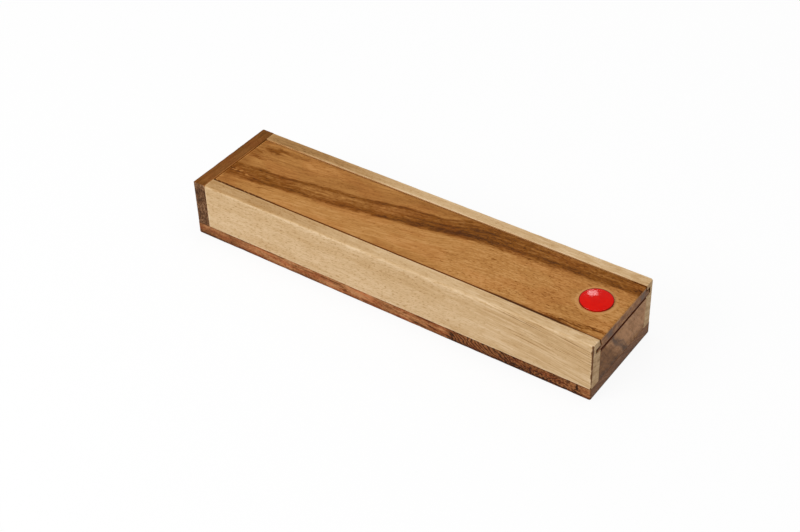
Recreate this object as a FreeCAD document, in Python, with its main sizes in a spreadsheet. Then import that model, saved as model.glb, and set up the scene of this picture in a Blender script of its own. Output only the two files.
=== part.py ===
import FreeCAD, Part
import math
import os
from enum import IntEnum

import Sketcher
from FreeCAD import Rotation, Vector

# A long, narrow wooden box whose lid slides out at one end.
# +X runs along the box to its open end, +Y to the far side wall, and +Z is up.
# The origin is the centre of the underside. Sizes are in millimetres.

SIZES = {
    # The box outside
    "BoxLength": 230.0,
    "BoxWidth": 56.0,
    "BaseThickness": 6.9,
    "WallHeight": 25.5,
    # The stock that its walls are cut from
    "NearWallThickness": 7.0,
    "FarWallThickness": 6.2,
    "FixedEndThickness": 7.7,
    "OpenEndThickness": 7.0,
    # The groove in each side wall, whose floor lies below the wall's top, and the lips above
    "GrooveFloorDrop": 6.5,
    "NearGrooveDepth": 4.1,
    "FarGrooveDepth": 3.4,
    "NearLipHeight": 3.7,
    "FarLipHeight": 2.5,
    # The clearances of the lid
    "LidTopDrop": 0.45,
    "LidNearGap": 0.8,
    "LidFarGap": 0.45,
    "LidRearGap": 0.15,
    "LidFrontSetback": 0.1,
    "TongueUnderGap": 0.1,
    "TongueTopGap": 0.7,
    "TongueEndGap": 1.1,
    "OpenEndTopGap": 0.6,
    # The rounding of the edges
    "NearTopRadius": 1.3,
    "FarTopRadius": 0.5,
    "FixedEndRadius": 1.2,
    "BaseEdgeRadius": 1.0,
    "WallEndRadius": 0.6,
    "OpenEndRadius": 0.4,
    "LidFrontRadius": 0.6,
    "LidSideRadius": 0.3,
    "TongueRadius": 1.0,
    # The round badge on the lid
    "BadgeDiameter": 16.1,
    "BadgeFrontOffset": 14.5,
    "BadgeSideOffset": 0.7,
    "BadgeDiscThickness": 0.3,
    "BadgeDomeThickness": 1.1,
    "BadgeRimHeight": 0.15,
    "BadgeRimRadius": 0.5,
}

# Heights above the foot of the walls, which stand on the base board
GROOVE_FLOOR = "(Sizes.WallHeight - Sizes.GrooveFloorDrop)"
LID_UNDERSIDE = f"({GROOVE_FLOOR} + Sizes.TongueUnderGap)"
LID_TOP = "(Sizes.WallHeight - Sizes.LidTopDrop)"
OPEN_END_HEIGHT = f"({LID_UNDERSIDE} - Sizes.OpenEndTopGap)"

# Lengths and widths that follow from the driving sizes
WALL_LENGTH = "(Sizes.BoxLength - Sizes.FixedEndThickness)"
WALL_START = "(Sizes.FixedEndThickness - Sizes.BoxLength / 2)"
INSIDE_START = "(Sizes.NearWallThickness - Sizes.BoxWidth / 2)"
INSIDE_WIDTH = "(Sizes.BoxWidth - Sizes.NearWallThickness - Sizes.FarWallThickness)"
LID_LENGTH = f"({WALL_LENGTH} - Sizes.LidRearGap - Sizes.LidFrontSetback)"
LID_MIDDLE_WIDTH = f"({INSIDE_WIDTH} - Sizes.LidNearGap - Sizes.LidFarGap)"
NEAR_TONGUE_REACH = "(Sizes.NearGrooveDepth + Sizes.LidNearGap - Sizes.TongueEndGap)"
FAR_TONGUE_REACH = "(Sizes.FarGrooveDepth + Sizes.LidFarGap - Sizes.TongueEndGap)"
TONGUE_ROOM = "(Sizes.GrooveFloorDrop - Sizes.TongueUnderGap - Sizes.TongueTopGap)"
NEAR_TONGUE_THICKNESS = f"({TONGUE_ROOM} - Sizes.NearLipHeight)"
FAR_TONGUE_THICKNESS = f"({TONGUE_ROOM} - Sizes.FarLipHeight)"
TONGUE_ROUNDING = f"min(Sizes.TongueRadius; {NEAR_TONGUE_THICKNESS} / 2)"
LID_WIDTH = f"({NEAR_TONGUE_REACH} + {LID_MIDDLE_WIDTH} + {FAR_TONGUE_REACH})"
BADGE_RADIUS = "(Sizes.BadgeDiameter / 2)"

HALF_TURN = 180.0
FULL_TURN = 360.0
QUARTER_ARC = math.pi / 2
EDGE_TOLERANCE = 1e-4


class Axis(IntEnum):
    """How a sketch's constraints name its own axes."""

    LEVEL = -1
    UPRIGHT = -2


class Point(IntEnum):
    """How a sketch's constraints name the points of a line or an arc."""

    START = 1
    END = 2
    CENTRE = 3


ORIGIN = (Axis.LEVEL, Point.START)


def make_sheet(doc):
    """The spreadsheet of driving sizes that every piece is bound to."""
    sheet = doc.addObject("Spreadsheet::Sheet", "Sizes")
    for row, (alias, value) in enumerate(SIZES.items(), start=1):
        sheet.set(f"A{row}", alias)
        sheet.set(f"B{row}", str(value))
        sheet.setAlias(f"B{row}", alias)
    doc.recompute()
    return sheet


def value_of(doc, expression):
    """The number that an expression on the sheet gives now."""
    return float(doc.Sizes.evalExpression(expression))


def new_body(doc, label, x, y, z, turn=0.0):
    """An empty body whose own origin is placed by expressions, turned about Z."""
    body = doc.addObject("PartDesign::Body", label)
    body.Label = label
    body.Placement.Rotation = Rotation(Vector(0, 0, 1), turn)
    for axis, expression in (("x", x), ("y", y), ("z", z)):
        body.setExpression(f"Placement.Base.{axis}", expression)
    return body


def new_sketch(body, role):
    """A sketch on one of the body's own origin planes."""
    sketch = body.newObject("Sketcher::SketchObject", f"{body.Name}_sketch")
    planes = [plane for plane in body.Origin.OriginFeatures if plane.Role == role]
    sketch.AttachmentSupport = [(planes[0], "")]
    sketch.MapMode = "FlatFace"
    return sketch


def hold(sketch, kind, *arguments):
    """A relation between lines and points of a sketch."""
    return sketch.addConstraint(Sketcher.Constraint(kind, *arguments))


def bind(sketch, expression, kind, *arguments):
    """A dimension of a sketch that follows an expression on the sheet."""
    index = hold(sketch, kind, *arguments, value_of(sketch.Document, expression))
    sketch.setExpression(f"Constraints[{index}]", expression)


def place_line(sketch, line, level, expression):
    """Hold a level line at its height, or an upright line at its distance across."""
    hold(sketch, "Horizontal" if level else "Vertical", line)
    if expression == "0":
        hold(sketch, "PointOnObject", line, Point.START, Axis.LEVEL if level else Axis.UPRIGHT)
    else:
        bind(sketch, expression, "DistanceY" if level else "DistanceX", *ORIGIN, line, Point.START)


def square_outline(sketch, corners):
    """A closed outline of level and upright lines, from pairs of expressions."""
    doc = sketch.Document
    points = [Vector(value_of(doc, across), value_of(doc, up), 0) for across, up in corners]
    count = len(corners)
    for line in range(count):
        sketch.addGeometry(Part.LineSegment(points[line], points[(line + 1) % count]))
    for line in range(count):
        after = (line + 1) % count
        hold(sketch, "Coincident", line, Point.END, after, Point.START)
        across, up = corners[line]
        level = up == corners[after][1]
        place_line(sketch, line, level, up if level else across)


def rectangle(width, height):
    """The corners of a rectangle that starts at the sketch's origin."""
    return [("0", "0"), (width, "0"), (width, height), ("0", height)]


def pad_along_x(body, corners, length):
    """A bar of the given section, which runs along X from the body's origin."""
    section = new_sketch(body, "YZ_Plane")
    square_outline(section, corners)
    pad = body.newObject("PartDesign::Pad", f"{body.Name}_pad")
    pad.Profile = section
    pad.setExpression("Length", length)
    body.Document.recompute()


def edges_on(shape, *sides):
    """The names of the edges that lie wholly on every given side of the shape's box."""
    names = []
    for number, edge in enumerate(shape.Edges, start=1):
        box = edge.BoundBox
        gaps = []
        for side in sides:
            limit = getattr(shape.BoundBox, side)
            gaps.append(abs(getattr(box, f"{side[0]}Min") - limit))
            gaps.append(abs(getattr(box, f"{side[0]}Max") - limit))
        if max(gaps) < EDGE_TOLERANCE:
            names.append(f"Edge{number}")
    return names


def round_edges(body, name, radius, *places, kept_sharp=()):
    """Round the edges at each place, one or more sides of the box, but not those kept sharp."""
    shape = body.Tip.Shape
    found = set()
    for sides in places:
        found.update(edges_on(shape, *sides))
    for side in kept_sharp:
        found.difference_update(edges_on(shape, side))
    fillet = body.newObject("PartDesign::Fillet", f"{body.Name}_{name}")
    fillet.Base = (fillet.BaseFeature, sorted(found))
    fillet.setExpression("Radius", radius)
    body.Document.recompute()


def base_board(doc):
    """The board under the whole box, with its lower and upright edges eased."""
    body = new_body(doc, "base_board", "-Sizes.BoxLength / 2", "-Sizes.BoxWidth / 2", "0")
    pad_along_x(body, rectangle("Sizes.BoxWidth", "Sizes.BaseThickness"), "Sizes.BoxLength")
    uprights = [("XMin", "YMin"), ("XMin", "YMax"), ("XMax", "YMin"), ("XMax", "YMax")]
    round_edges(body, "easing", "Sizes.BaseEdgeRadius", ("ZMin",), *uprights)
    return body


def side_wall(doc, label, side):
    """A grooved wall, glued to the base. The far one is turned end for end, with a lower lip."""
    far = side == "Far"
    start = "Sizes.BoxLength / 2" if far else WALL_START
    outer_face = "Sizes.BoxWidth / 2" if far else "-Sizes.BoxWidth / 2"
    turn = HALF_TURN if far else 0.0
    thickness = f"Sizes.{side}WallThickness"
    groove_bottom = f"({thickness} - Sizes.{side}GrooveDepth)"
    groove_roof = f"(Sizes.WallHeight - Sizes.{side}LipHeight)"
    body = new_body(doc, label, start, outer_face, "Sizes.BaseThickness", turn)
    section = [
        ("0", "0"),
        (thickness, "0"),
        (thickness, GROOVE_FLOOR),
        (groove_bottom, GROOVE_FLOOR),
        (groove_bottom, groove_roof),
        (thickness, groove_roof),
        (thickness, "Sizes.WallHeight"),
        ("0", "Sizes.WallHeight"),
    ]
    pad_along_x(body, section, WALL_LENGTH)
    free_end = "XMin" if far else "XMax"
    round_edges(body, "top_rounding", f"Sizes.{side}TopRadius", ("YMin", "ZMax"))
    round_edges(body, "end_easing", "Sizes.WallEndRadius", (free_end, "YMin"), (free_end, "ZMax"))
    return body


def fixed_end_wall(doc):
    """The wall as wide as the box, which the side walls butt against."""
    body = new_body(
        doc, "fixed_end_wall", "-Sizes.BoxLength / 2", "-Sizes.BoxWidth / 2", "Sizes.BaseThickness"
    )
    pad_along_x(body, rectangle("Sizes.BoxWidth", "Sizes.WallHeight"), "Sizes.FixedEndThickness")
    outer_edges = [("XMin", "ZMax"), ("XMin", "YMin"), ("XMin", "YMax")]
    round_edges(body, "easing", "Sizes.FixedEndRadius", *outer_edges)
    return body


def open_end_wall(doc):
    """The low wall between the side walls, which the lid slides over."""
    start = "Sizes.BoxLength / 2 - Sizes.OpenEndThickness"
    body = new_body(doc, "open_end_wall", start, INSIDE_START, "Sizes.BaseThickness")
    pad_along_x(body, rectangle(INSIDE_WIDTH, OPEN_END_HEIGHT), "Sizes.OpenEndThickness")
    round_edges(body, "easing", "Sizes.OpenEndRadius", ("XMax", "ZMax"))
    return body


def lid_panel(doc):
    """The lid board. A rebate along each side leaves a tongue that runs in the groove."""
    start = f"{WALL_START} + Sizes.LidRearGap"
    near_edge = f"{INSIDE_START} + Sizes.LidNearGap - {NEAR_TONGUE_REACH}"
    height = f"Sizes.BaseThickness + {LID_UNDERSIDE}"
    body = new_body(doc, "lid_panel", start, near_edge, height)
    thickness = f"({LID_TOP} - {LID_UNDERSIDE})"
    far_rebate = f"({NEAR_TONGUE_REACH} + {LID_MIDDLE_WIDTH})"
    section = [
        ("0", "0"),
        (LID_WIDTH, "0"),
        (LID_WIDTH, FAR_TONGUE_THICKNESS),
        (far_rebate, FAR_TONGUE_THICKNESS),
        (far_rebate, thickness),
        (NEAR_TONGUE_REACH, thickness),
        (NEAR_TONGUE_REACH, NEAR_TONGUE_THICKNESS),
        ("0", NEAR_TONGUE_THICKNESS),
    ]
    pad_along_x(body, section, LID_LENGTH)
    ends_and_underside = ("XMin", "XMax", "ZMin")
    tongue_edges = [("YMin",), ("YMax",)]
    round_edges(body, "tongues", TONGUE_ROUNDING, *tongue_edges, kept_sharp=ends_and_underside)
    round_edges(body, "front_rounding", "Sizes.LidFrontRadius", ("XMax", "ZMax"))
    round_edges(body, "side_easing", "Sizes.LidSideRadius", ("ZMax",))
    return body


def badge_body(doc, label, height):
    """A body of the badge, centred on the badge's axis at a height on the lid."""
    along = "Sizes.BoxLength / 2 - Sizes.LidFrontSetback - Sizes.BadgeFrontOffset"
    lid_top = f"Sizes.BaseThickness + {LID_TOP}"
    return new_body(doc, label, along, "Sizes.BadgeSideOffset", f"{lid_top} + {height}")


def badge_disc(doc):
    """The thin red disc, stuck flat on the lid."""
    body = badge_body(doc, "badge_disc", "0")
    outline = new_sketch(body, "XY_Plane")
    radius = value_of(doc, BADGE_RADIUS)
    circle = outline.addGeometry(Part.Circle(Vector(0, 0, 0), Vector(0, 0, 1), radius))
    hold(outline, "Coincident", circle, Point.CENTRE, *ORIGIN)
    bind(outline, BADGE_RADIUS, "Radius", circle)
    pad = body.newObject("PartDesign::Pad", "badge_disc_pad")
    pad.Profile = outline
    pad.setExpression("Length", "Sizes.BadgeDiscThickness")
    return body


def dome_section(body):
    """Half the dome's section: its foot, an upright rim, a rounding and a shallow cap."""
    doc = body.Document
    radius = value_of(doc, BADGE_RADIUS)
    rim_height = value_of(doc, "Sizes.BadgeRimHeight")
    rounding_radius = value_of(doc, "Sizes.BadgeRimRadius")
    crown_height = value_of(doc, "Sizes.BadgeDomeThickness")
    # The cap's circle is centred on the axis, and the rounding's circle touches it from inside
    reach = radius - rounding_radius
    climb = crown_height - rim_height
    cap_radius = (reach**2 + climb**2 - rounding_radius**2) / (2 * (climb - rounding_radius))
    cap_centre = Vector(0, crown_height - cap_radius, 0)
    join_angle = math.atan2(rim_height - cap_centre.y, reach)
    centre, crown = Vector(0, 0, 0), Vector(0, crown_height, 0)
    foot_edge, rim_top = Vector(radius, 0, 0), Vector(radius, rim_height, 0)
    normal = Vector(0, 0, 1)
    rounding_circle = Part.Circle(Vector(reach, rim_height, 0), normal, rounding_radius)
    cap_circle = Part.Circle(cap_centre, normal, cap_radius)

    section = new_sketch(body, "XZ_Plane")
    foot = section.addGeometry(Part.LineSegment(centre, foot_edge))
    rim = section.addGeometry(Part.LineSegment(foot_edge, rim_top))
    rounding = section.addGeometry(Part.ArcOfCircle(rounding_circle, 0, join_angle))
    cap = section.addGeometry(Part.ArcOfCircle(cap_circle, join_angle, QUARTER_ARC))
    axis = section.addGeometry(Part.LineSegment(crown, centre))
    hold(section, "Coincident", foot, Point.START, *ORIGIN)
    hold(section, "Coincident", foot, Point.END, rim, Point.START)
    hold(section, "Tangent", rim, Point.END, rounding, Point.START)
    hold(section, "Tangent", rounding, Point.END, cap, Point.START)
    hold(section, "Coincident", cap, Point.END, axis, Point.START)
    hold(section, "Coincident", axis, Point.END, foot, Point.START)
    hold(section, "Horizontal", foot)
    hold(section, "Vertical", rim)
    hold(section, "Vertical", axis)
    hold(section, "PointOnObject", cap, Point.CENTRE, Axis.UPRIGHT)
    bind(section, BADGE_RADIUS, "DistanceX", foot, Point.START, foot, Point.END)
    bind(section, "Sizes.BadgeRimHeight", "DistanceY", rim, Point.START, rim, Point.END)
    bind(section, "Sizes.BadgeRimRadius", "Radius", rounding)
    bind(section, "Sizes.BadgeDomeThickness", "DistanceY", foot, Point.START, cap, Point.END)
    return section


def badge_dome(doc):
    """The clear resin that stands on the disc in a shallow dome."""
    body = badge_body(doc, "badge_dome", "Sizes.BadgeDiscThickness")
    section = dome_section(body)
    revolution = body.newObject("PartDesign::Revolution", "badge_dome_revolution")
    revolution.Profile = section
    revolution.ReferenceAxis = (section, ["V_Axis"])
    revolution.Angle = FULL_TURN
    return body


def build(doc):
    """Every piece of the box, as a body of its own."""
    make_sheet(doc)
    bodies = [
        base_board(doc),
        side_wall(doc, "near_side_wall", "Near"),
        side_wall(doc, "far_side_wall", "Far"),
        fixed_end_wall(doc),
        open_end_wall(doc),
        lid_panel(doc),
        badge_disc(doc),
        badge_dome(doc),
    ]
    doc.recompute()
    return bodies


def check(doc, bodies):
    """Stop if any object failed, or if a piece isn't one valid solid."""
    for item in doc.Objects:
        if "Invalid" in item.State or "Error" in item.State:
            raise RuntimeError(f"{item.Name} failed: {item.State}")
    for body in bodies:
        shape = body.Shape
        if shape.isNull() or not shape.isValid() or len(shape.Solids) != 1:
            raise RuntimeError(f"{body.Label} isn't one valid solid")


def write(bodies):
    """One STEP file a piece, named after it."""
    os.makedirs("parts", exist_ok=True)
    for body in bodies:
        body.Shape.exportStep(f"parts/{body.Label}.step")
        box = body.Shape.optimalBoundingBox()
        size = f"{box.XLength:.2f} x {box.YLength:.2f} x {box.ZLength:.2f} mm"
        print(f"{body.Label}: {size}, {body.Shape.Volume:.1f} mm3")


document = FreeCAD.newDocument("sliding_lid_box")
pieces = build(document)
check(document, pieces)
write(pieces)
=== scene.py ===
import math

import bmesh
import bpy
from mathutils import Matrix, Vector, noise


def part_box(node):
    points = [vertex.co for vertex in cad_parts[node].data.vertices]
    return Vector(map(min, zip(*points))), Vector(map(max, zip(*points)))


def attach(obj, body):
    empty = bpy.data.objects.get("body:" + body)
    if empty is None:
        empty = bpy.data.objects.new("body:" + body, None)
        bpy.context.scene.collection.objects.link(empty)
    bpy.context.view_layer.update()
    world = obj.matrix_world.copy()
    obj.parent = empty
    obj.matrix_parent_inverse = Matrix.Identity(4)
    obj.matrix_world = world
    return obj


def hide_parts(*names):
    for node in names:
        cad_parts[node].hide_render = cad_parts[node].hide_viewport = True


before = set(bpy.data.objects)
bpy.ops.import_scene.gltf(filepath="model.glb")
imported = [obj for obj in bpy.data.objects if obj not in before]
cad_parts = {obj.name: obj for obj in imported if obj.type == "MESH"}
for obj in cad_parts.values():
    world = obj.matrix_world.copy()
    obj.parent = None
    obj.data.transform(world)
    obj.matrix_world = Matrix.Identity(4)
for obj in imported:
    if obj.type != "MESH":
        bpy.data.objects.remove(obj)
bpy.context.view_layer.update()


# ---------------------------------------------------------------------------------------------
# The base board: one reddish brown hardwood board under the whole box. Its lower and upright
# edges are sanded round, and the four walls stand on it in glue. The grain runs along the box.

MM = 0.001
CLOSE = 0.02 * MM
ROUNDING_STEPS = 5
EASING_STEPS = 3
EASING_RADIUS = 0.16 * MM
SHARP_ANGLE = math.radians(50)
SHADING_ANGLE = math.radians(36)
WEAR_STEP = 4.0 * MM
WEAR_PERIOD = 9.0 * MM
WEAR_GAIN = 3
WEAR_SEED_STEP = 3

WOOD_GLOSS = 0.07
RELIEF_DEPTH = 0.05 * MM
RELIEF_STRENGTH = 0.6
NOISE_RANGE = (0.3, 0.7)
NOISE_ROUGHNESS = 0.6
END_ON = (0.5, 0.85)

BEND_SPOTS = (0.012, 0.045, 0.045)
BREAK_SPOTS = (0.045, 0.3, 0.3)
FIBRE_SPOTS = (0.09, 1.5, 1.5)
PORE_SPOTS = (0.6, 2.2, 2.2)
MOTTLE_SPOTS = (0.16, 0.42, 0.42)
CLOUD_SPOTS = (0.014, 0.06, 0.06)
BREAK_RANGE = (0.4, 0.62)
LINE_RANGE = (0.54, 0.7)
LINES_PER_RING = 2.6
FIBRE_RELIEF = 0.4
PORE_SOFTNESS = 0.06

BASE_EDGE_RADIUS = 1.0 * MM
BASE_WEAR = 0.12 * MM


def drawn_along_x(section, start, end):
    """A board as sawn: its Y, Z section, drawn out along X from start to end."""
    board = bmesh.new()
    outline = board.faces.new([board.verts.new((start, y, z)) for y, z in section])
    grown = bmesh.ops.extrude_face_region(board, geom=[outline], use_keep_orig=True)
    moved = [part for part in grown["geom"] if isinstance(part, bmesh.types.BMVert)]
    bmesh.ops.translate(board, vec=(end - start, 0, 0), verts=moved)
    bmesh.ops.recalc_face_normals(board, faces=board.faces)
    return board


def rectangle(low, high):
    """The Y, Z section of a plain board between two corners."""
    return [(low.y, low.z), (high.y, low.z), (high.y, high.z), (low.y, high.z)]


def lies_on(edge, sides):
    """Whether both ends of an edge lie at the given x, y or z."""
    return all(
        abs(getattr(vertex.co, axis) - place) < CLOSE
        for vertex in edge.verts
        for axis, place in sides.items()
    )


def round_over(board, radius, *places, spared=()):
    """Rounds the edges found at each place, which gives their x, y or z, but not the spared ones."""
    edges = [
        edge for edge in board.edges
        if any(lies_on(edge, sides) for sides in places)
        and not any(lies_on(edge, sides) for sides in spared)
    ]
    bmesh.ops.bevel(
        board, geom=edges, offset=radius, offset_type="OFFSET", affect="EDGES",
        segments=ROUNDING_STEPS, profile=0.5, material=-1,
    )


def ease(board, radius=EASING_RADIUS):
    """Takes the sharpness off every edge that is left square."""
    edges = [edge for edge in board.edges if edge.calc_face_angle(0) > SHARP_ANGLE]
    bmesh.ops.bevel(
        board, geom=edges, offset=radius, offset_type="OFFSET", affect="EDGES",
        segments=EASING_STEPS, profile=0.5, material=-1,
    )


def wear(board, amount, seed, along=0):
    """Lets each long edge wander a little into the wood, as hand sanding leaves it."""
    span = [[vertex.co[axis] for vertex in board.verts] for axis in range(3)]
    low = [min(places) for places in span]
    high = [max(places) for places in span]
    steps = int((high[along] - low[along]) / WEAR_STEP)
    cut = Vector((0, 0, 0))
    facing = Vector((0, 0, 0))
    facing[along] = 1
    for step in range(1, steps):
        cut[along] = low[along] + (high[along] - low[along]) * step / steps
        everything = board.verts[:] + board.edges[:] + board.faces[:]
        bmesh.ops.bisect_plane(board, geom=everything, plane_co=cut, plane_no=facing)
    first, second = (axis for axis in range(3) if axis != along)
    for vertex in board.verts:
        middle = [(low[axis] + high[axis]) / 2 for axis in range(3)]
        sides = [math.copysign(1, vertex.co[axis] - middle[axis]) for axis in (first, second)]
        stretch = vertex.co[along] / WEAR_PERIOD
        for axis, side in zip((first, second), sides):
            depth = noise.noise((stretch, seed + sides[0] + WEAR_SEED_STEP * axis, sides[1]))
            vertex.co[axis] -= side * min(depth ** 2 * WEAR_GAIN, 1) * amount


def keep_within(board, low, high):
    """Sands away whatever the roundings leave standing out of the board's own corners."""
    for vertex in board.verts:
        for axis in range(3):
            vertex.co[axis] = min(max(vertex.co[axis], low[axis]), high[axis])


def piece(name, mesh, material):
    """An object of a finished bmesh, with smooth roundings and flat faces."""
    data = bpy.data.meshes.new(name)
    for face in mesh.faces:
        face.smooth = True
    mesh.to_mesh(data)
    mesh.free()
    data.set_sharp_from_angle(angle=SHADING_ANGLE)
    data.materials.append(material)
    made = bpy.data.objects.new(name, data)
    bpy.context.scene.collection.objects.link(made)
    flat = made.modifiers.new("flat faces", "WEIGHTED_NORMAL")
    flat.keep_sharp = True
    return made


def colour(red, green, blue):
    """A colour as a paint chart gives it, 0 to 255, turned into linear light."""
    shares = [part / 255 for part in (red, green, blue)]
    linear = [share / 12.92 if share < 0.04045 else ((share + 0.055) / 1.055) ** 2.4 for share in shares]
    return (*linear, 1)


def add(kind, inputs, tree=None, **settings):
    """A shader node, with its settings and a value or a link for each input; gives its outputs.

    It goes into the given tree, or else into the one that its links come from.
    """
    linked = {name: value for name, value in inputs.items() if isinstance(value, bpy.types.NodeSocket)}
    tree = tree or next(iter(linked.values())).id_data
    made = tree.nodes.new("ShaderNode" + kind)
    for setting, value in settings.items():
        setattr(made, setting, value)
    for name, value in inputs.items():
        if name in linked:
            tree.links.new(value, made.inputs[name])
        else:
            made.inputs[name].default_value = value
    return made.outputs


def calc(operation, *values):
    """One sum on numbers, at least one of them a link."""
    return add("Math", dict(enumerate(values)), operation=operation)[0]


def vector_calc(operation, *values):
    """One sum on vectors."""
    return add("VectorMath", dict(enumerate(values)), operation=operation)[0]


def fade(value, start, end):
    """A mask that goes smoothly from 0 where the value is start to 1 where it is end."""
    inputs = {"Value": value, "From Min": start, "From Max": end}
    return add("MapRange", inputs, interpolation_type="SMOOTHSTEP")["Result"]


def tint(mask, under, over, blend_type="MIX"):
    """One colour over another where the mask is 1."""
    inputs = {0: mask, 6: under, 7: over}
    return add("Mix", inputs, data_type="RGBA", blend_type=blend_type)[2]


def chained(operation, values):
    """The same sum over several numbers, one after another."""
    result = values[0]
    for value in values[1:]:
        result = calc(operation, result, value)
    return result


def total(*terms):
    """The sum of several numbers."""
    return chained("ADD", terms)


def less(value, taken):
    """One number less another."""
    return calc("SUBTRACT", value, taken)


def overlap(*masks):
    """Where all of several masks hold: their product."""
    return chained("MULTIPLY", masks)


def largest(*masks):
    """Where any of several masks holds: the largest of them."""
    return chained("MAXIMUM", masks)


def ridge(value, centre, reach):
    """A mask that is 1 where the value is the centre and fades out within its reach."""
    return fade(calc("ABSOLUTE", less(value, centre)), reach, 0.0)


def window(value, start, end, soft):
    """A mask that is 1 from start to end and fades out beyond them."""
    opening = fade(value, start - soft, start)
    return overlap(opening, fade(value, end + soft, end))


def toned(tone, stops):
    """A wood's colour from its darkest tone, 0, to its palest, 1."""
    made = add("ValToRGB", {0: tone})["Color"]
    ramp = made.node.color_ramp
    while len(ramp.elements) < len(stops):
        ramp.elements.new(0.5)
    for element, (position, shade) in zip(ramp.elements, sorted(stops.items())):
        element.position = position
        element.color = shade
    return made


def new_group(name, inputs, outputs):
    """An empty shader node group with named sockets; gives its tree and its inputs."""
    tree = bpy.data.node_groups.new(name, "ShaderNodeTree")
    for direction, sockets in (("INPUT", inputs), ("OUTPUT", outputs)):
        for socket_name, kind in sockets.items():
            tree.interface.new_socket(socket_name, in_out=direction, socket_type="NodeSocket" + kind)
    return tree, tree.nodes.new("NodeGroupInput").outputs


def close_group(tree, results):
    """Links the results of a group to its named outputs."""
    exit_node = tree.nodes.new("NodeGroupOutput")
    for name, result in results.items():
        tree.links.new(result, exit_node.inputs[name])


def place_group(group, inputs):
    """A group set in a material with its own values; gives its outputs."""
    return add("Group", inputs, node_tree=group)


def build_grain():
    """Wood grain along X, for places in millimetres. Each pattern runs from 0 to 1."""
    tree, given = new_group(
        "wood grain",
        {
            "Place": "Vector", "Board": "Float", "Ring Direction": "Vector",
            "Ring Spacing": "Float", "Waviness": "Float", "Pore Limit": "Float",
        },
        {
            "Rings": "Float", "Lines": "Float", "Fibres": "Float", "Pores": "Float",
            "Mottle": "Float", "Clouds": "Float", "Relief": "Float",
        },
    )

    def stretched(scale, detail, place):
        """Noise of the given spots per millimetre, different for each board."""
        inputs = {
            "Vector": vector_calc("MULTIPLY", place, scale),
            "W": given["Board"], "Scale": 1.0, "Detail": detail, "Roughness": NOISE_ROUGHNESS,
        }
        return add("TexNoise", inputs, noise_dimensions="4D")

    def ringed(number):
        """Noise from one growth ring to the next."""
        inputs = {"W": number, "Scale": 1.0, "Detail": 3.0, "Roughness": NOISE_ROUGHNESS}
        return add("TexNoise", inputs, noise_dimensions="1D")["Fac"]

    bend = stretched(BEND_SPOTS, 2.0, given["Place"])["Color"]
    centred = vector_calc("SUBTRACT", bend, (0.5, 0.5, 0.5))
    shift = add("VectorMath", {0: centred, "Scale": given["Waviness"]}, operation="SCALE")[0]
    bent = vector_calc("ADD", given["Place"], shift)
    depth = add("VectorMath", {0: bent, 1: given["Ring Direction"]}, operation="DOT_PRODUCT")[1]
    number = calc("DIVIDE", depth, given["Ring Spacing"])
    rings = fade(ringed(number), *NOISE_RANGE)
    broken = fade(stretched(BREAK_SPOTS, 1.0, bent)["Fac"], *BREAK_RANGE)
    lines = fade(ringed(overlap(number, LINES_PER_RING)), *LINE_RANGE)
    lines = overlap(lines, broken)
    fibres = fade(stretched(FIBRE_SPOTS, 3.0, bent)["Fac"], *NOISE_RANGE)
    pore_noise = stretched(PORE_SPOTS, 0.0, bent)["Fac"]
    pore_edge = total(given["Pore Limit"], PORE_SOFTNESS)
    pores = fade(pore_noise, given["Pore Limit"], pore_edge)
    mottle = fade(stretched(MOTTLE_SPOTS, 2.0, bent)["Fac"], *NOISE_RANGE)
    clouds = fade(stretched(CLOUD_SPOTS, 2.0, bent)["Fac"], *NOISE_RANGE)
    relief = less(overlap(fibres, FIBRE_RELIEF), pores)
    close_group(tree, {
        "Rings": rings, "Lines": lines, "Fibres": fibres, "Pores": pores,
        "Mottle": mottle, "Clouds": clouds, "Relief": relief,
    })
    return tree


wood_grain = build_grain()


def build_mark():
    """One soft, long mark in the wood, such as a mineral streak or a patch, in millimetres."""
    tree, given = new_group(
        "mark",
        {
            "Along": "Float", "Across": "Float", "Middle Along": "Float", "Middle Across": "Float",
            "Length": "Float", "Width": "Float", "Slope": "Float",
        },
        {"Mask": "Float"},
    )
    ahead = less(given["Along"], given["Middle Along"])
    rise = overlap(ahead, given["Slope"])
    aside = less(less(given["Across"], given["Middle Across"]), rise)
    u = calc("DIVIDE", ahead, given["Length"])
    v = calc("DIVIDE", aside, given["Width"])
    distance = total(overlap(u, u), overlap(v, v))
    close_group(tree, {"Mask": fade(distance, 1.0, 0.0)})
    return tree


wood_mark = build_mark()


def marked(along, across, marks):
    """The sum of several marks: middle, length, width, slope and strength of each."""
    strengths = []
    for middle_along, middle_across, length, width, slope, strength in marks:
        mask = place_group(wood_mark, {
            "Along": along, "Across": across, "Middle Along": middle_along,
            "Middle Across": middle_across, "Length": length / 2, "Width": width / 2, "Slope": slope,
        })["Mask"]
        strengths.append(overlap(mask, strength))
    return total(*strengths)


def speckle(place, scale, detail=2.0):
    """A cloudy pattern from 0 to 1, of the given spots per millimetre along each axis."""
    inputs = {"Vector": vector_calc("MULTIPLY", place, scale), "Scale": 1.0, "Detail": detail}
    return fade(add("TexNoise", inputs)["Fac"], *NOISE_RANGE)


def swing(pattern, amount):
    """A pattern's swing about its middle, as a change of tone."""
    return overlap(less(pattern, 0.5), amount)


def scaled(mask, amount):
    """A mask times its strength."""
    return overlap(mask, amount)


def parts(vector):
    """The X, Y and Z of a place: along the box, across it and up, in that order."""
    return add("SeparateXYZ", {0: vector})[:3]


def figure(grain, amounts):
    """What the grain's patterns do to the tone: pores and lines darken it, the others swing it."""
    changes = []
    for pattern, amount in amounts.items():
        change = scaled if pattern in ("Pores", "Lines") else swing
        changes.append(change(grain[pattern], amount))
    return total(*changes)


def shaded(value, changes):
    """Changes of tone along a value: where each begins, where it is whole, and how much it is."""
    return total(*(scaled(fade(value, start, end), amount) for start, end, amount in changes))


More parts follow.
